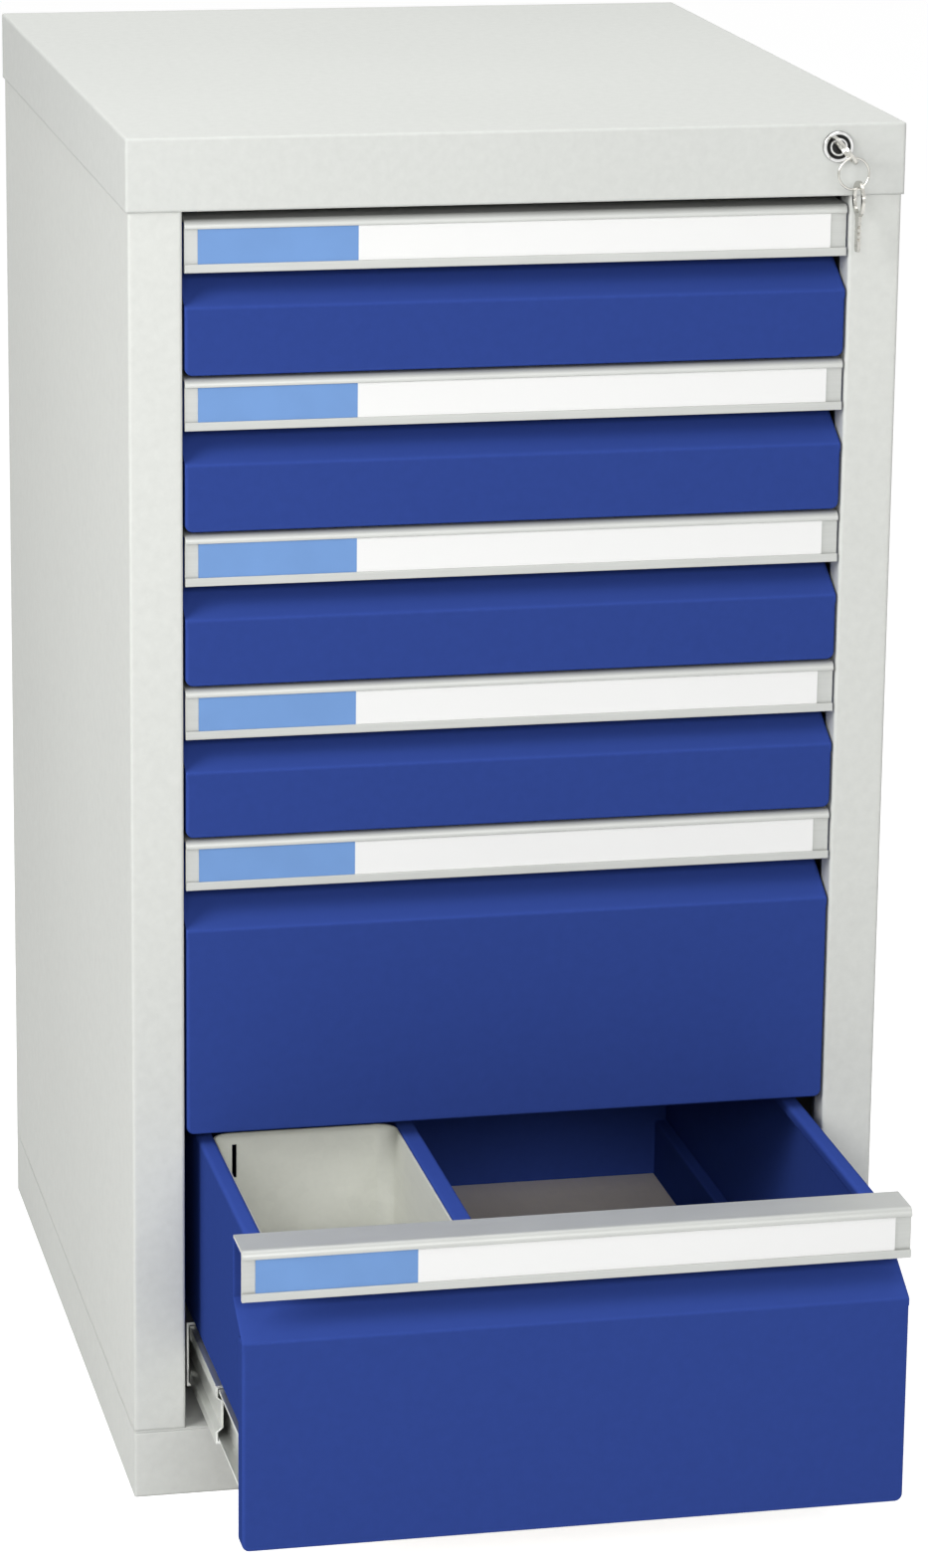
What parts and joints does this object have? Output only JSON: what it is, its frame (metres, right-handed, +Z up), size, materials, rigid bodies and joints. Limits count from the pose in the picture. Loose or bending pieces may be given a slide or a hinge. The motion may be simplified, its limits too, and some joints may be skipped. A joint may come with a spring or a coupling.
{
  "type": "modular drawer cabinet",
  "caption": "Free-standing steel drawer cabinet: small drawers above large ones, full-width grip strips with labels, telescopic runners and a central cylinder lock.",
  "frame": {"origin": "centre of the cabinet's footprint on the floor; the open drawer stands out beyond the footprint", "axes": "+Z up; -Y towards the drawer fronts, the way the drawers open; +X to the right of someone facing the fronts"},
  "size_m": [0.5, 0.8085, 0.9],
  "materials": {
    "cover_grey": "light grey powder coat, fine texture, satin",
    "body_grey": "light grey powder coat, fine texture, satin",
    "front_blue": "deep blue powder coat, satin",
    "grip_aluminium": "satin anodised",
    "label_card": "printed card with a plain pale blue field at the left",
    "galvanised": "zinc plated sheet, dull",
    "runner_zinc": "bright zinc plated",
    "lock_chrome": "polished chrome plate",
    "key_nickel": "nickel plated, slightly worn"
  },
  "bodies": {
    "carcass": {"top_cover": "cover_grey", "left_side_panel": "body_grey", "right_side_panel": "body_grey", "back_panel": "body_grey", "bottom_panel": "body_grey", "plinth": "body_grey", "runner_uprights": "galvanised", "fixed_runners": "runner_zinc", "lock_housing": "lock_chrome", "lock_bar_guides": "galvanised"},
    "drawer_1": {"drawer_1_front": "front_blue", "drawer_1_grip_strip": "grip_aluminium", "drawer_1_label": "label_card", "drawer_1_walls": "front_blue", "drawer_1_floor": "galvanised", "drawer_1_inner_runners": "runner_zinc"},
    "drawer_1_middle": {"drawer_1_middle_runners": "runner_zinc"},
    "drawer_2": {"drawer_2_front": "front_blue", "drawer_2_grip_strip": "grip_aluminium", "drawer_2_label": "label_card", "drawer_2_walls": "front_blue", "drawer_2_floor": "galvanised", "drawer_2_inner_runners": "runner_zinc"},
    "drawer_2_middle": {"drawer_2_middle_runners": "runner_zinc"},
    "drawer_3": {"drawer_3_front": "front_blue", "drawer_3_grip_strip": "grip_aluminium", "drawer_3_label": "label_card", "drawer_3_walls": "front_blue", "drawer_3_floor": "galvanised", "drawer_3_inner_runners": "runner_zinc"},
    "drawer_3_middle": {"drawer_3_middle_runners": "runner_zinc"},
    "drawer_4": {"drawer_4_front": "front_blue", "drawer_4_grip_strip": "grip_aluminium", "drawer_4_label": "label_card", "drawer_4_walls": "front_blue", "drawer_4_floor": "galvanised", "drawer_4_inner_runners": "runner_zinc"},
    "drawer_4_middle": {"drawer_4_middle_runners": "runner_zinc"},
    "drawer_5": {"drawer_5_front": "front_blue", "drawer_5_grip_strip": "grip_aluminium", "drawer_5_label": "label_card", "drawer_5_walls": "front_blue", "drawer_5_floor": "galvanised", "drawer_5_inner_runners": "runner_zinc"},
    "drawer_5_middle": {"drawer_5_middle_runners": "runner_zinc"},
    "drawer_6": {"drawer_6_front": "front_blue", "drawer_6_grip_strip": "grip_aluminium", "drawer_6_label": "label_card", "drawer_6_walls": "front_blue", "drawer_6_floor": "galvanised", "drawer_6_inner_runners": "runner_zinc", "drawer_6_partition": "front_blue", "drawer_6_bay_liner": "galvanised"},
    "drawer_6_middle": {"drawer_6_middle_runners": "runner_zinc"},
    "lock_core": {"lock_plug": "lock_chrome", "lock_cam": "runner_zinc"},
    "lock_bar_body": {"lock_bar": "runner_zinc"},
    "key_body": {"key": "key_nickel"},
    "key_ring_body": {"key_ring": "key_nickel"},
    "spare_key_body": {"spare_key": "key_nickel"}
  },
  "joints": [
    {"name": "drawer_1_slide", "type": "slide", "parent": "carcass", "child": "drawer_1", "axis": [0, -1, 0], "range_m": [0, 0.48]},
    {"name": "drawer_1_middle_slide", "type": "slide", "parent": "carcass", "child": "drawer_1_middle", "axis": [0, -1, 0], "range_m": [0, 0.24]},
    {"name": "drawer_2_slide", "type": "slide", "parent": "carcass", "child": "drawer_2", "axis": [0, -1, 0], "range_m": [0, 0.48]},
    {"name": "drawer_2_middle_slide", "type": "slide", "parent": "carcass", "child": "drawer_2_middle", "axis": [0, -1, 0], "range_m": [0, 0.24]},
    {"name": "drawer_3_slide", "type": "slide", "parent": "carcass", "child": "drawer_3", "axis": [0, -1, 0], "range_m": [0, 0.48]},
    {"name": "drawer_3_middle_slide", "type": "slide", "parent": "carcass", "child": "drawer_3_middle", "axis": [0, -1, 0], "range_m": [0, 0.24]},
    {"name": "drawer_4_slide", "type": "slide", "parent": "carcass", "child": "drawer_4", "axis": [0, -1, 0], "range_m": [0, 0.48]},
    {"name": "drawer_4_middle_slide", "type": "slide", "parent": "carcass", "child": "drawer_4_middle", "axis": [0, -1, 0], "range_m": [0, 0.24]},
    {"name": "drawer_5_slide", "type": "slide", "parent": "carcass", "child": "drawer_5", "axis": [0, -1, 0], "range_m": [0, 0.48]},
    {"name": "drawer_5_middle_slide", "type": "slide", "parent": "carcass", "child": "drawer_5_middle", "axis": [0, -1, 0], "range_m": [0, 0.24]},
    {"name": "drawer_6_slide", "type": "slide", "parent": "carcass", "child": "drawer_6", "axis": [0, -1, 0], "range_m": [-0.21, 0.27]},
    {"name": "drawer_6_middle_slide", "type": "slide", "parent": "carcass", "child": "drawer_6_middle", "axis": [0, -1, 0], "range_m": [-0.105, 0.135]},
    {"name": "lock_turn", "type": "hinge", "parent": "carcass", "child": "lock_core", "pos_m": [0.205, -0.3, 0.8855], "axis": [0, -1, 0], "range_deg": [0, 90]},
    {"name": "lock_bar_lift", "type": "slide", "parent": "carcass", "child": "lock_bar_body", "axis": [0, 0, 1], "range_m": [0, 0.01131]},
    {"name": "key_pull", "type": "slide", "parent": "lock_core", "child": "key_body", "axis": [0, -1, 0], "range_m": [0, 0.024]},
    {"name": "key_ring_swing", "type": "hinge", "parent": "key_body", "child": "key_ring_body", "pos_m": [0.21123, -0.31624, 0.87781], "axis": [0, 1, 0], "range_deg": [0, 90]},
    {"name": "spare_key_swing", "type": "hinge", "parent": "key_ring_body", "child": "spare_key_body", "pos_m": [0.21493, -0.31624, 0.85438], "axis": [-1, 0, 0], "range_deg": [-10, 60]}
  ],
  "couplings": [
    {"joint": "drawer_1_middle_slide", "follows": "drawer_1_slide", "ratio": 0.5},
    {"joint": "drawer_2_middle_slide", "follows": "drawer_2_slide", "ratio": 0.5},
    {"joint": "drawer_3_middle_slide", "follows": "drawer_3_slide", "ratio": 0.5},
    {"joint": "drawer_4_middle_slide", "follows": "drawer_4_slide", "ratio": 0.5},
    {"joint": "drawer_5_middle_slide", "follows": "drawer_5_slide", "ratio": 0.5},
    {"joint": "drawer_6_middle_slide", "follows": "drawer_6_slide", "ratio": 0.5},
    {"joint": "lock_turn", "follows": "lock_bar_lift", "rad_per_m": 138.85},
    {"joint": "key_ring_swing", "follows": "lock_bar_lift", "rad_per_m": 138.85}
  ]
}
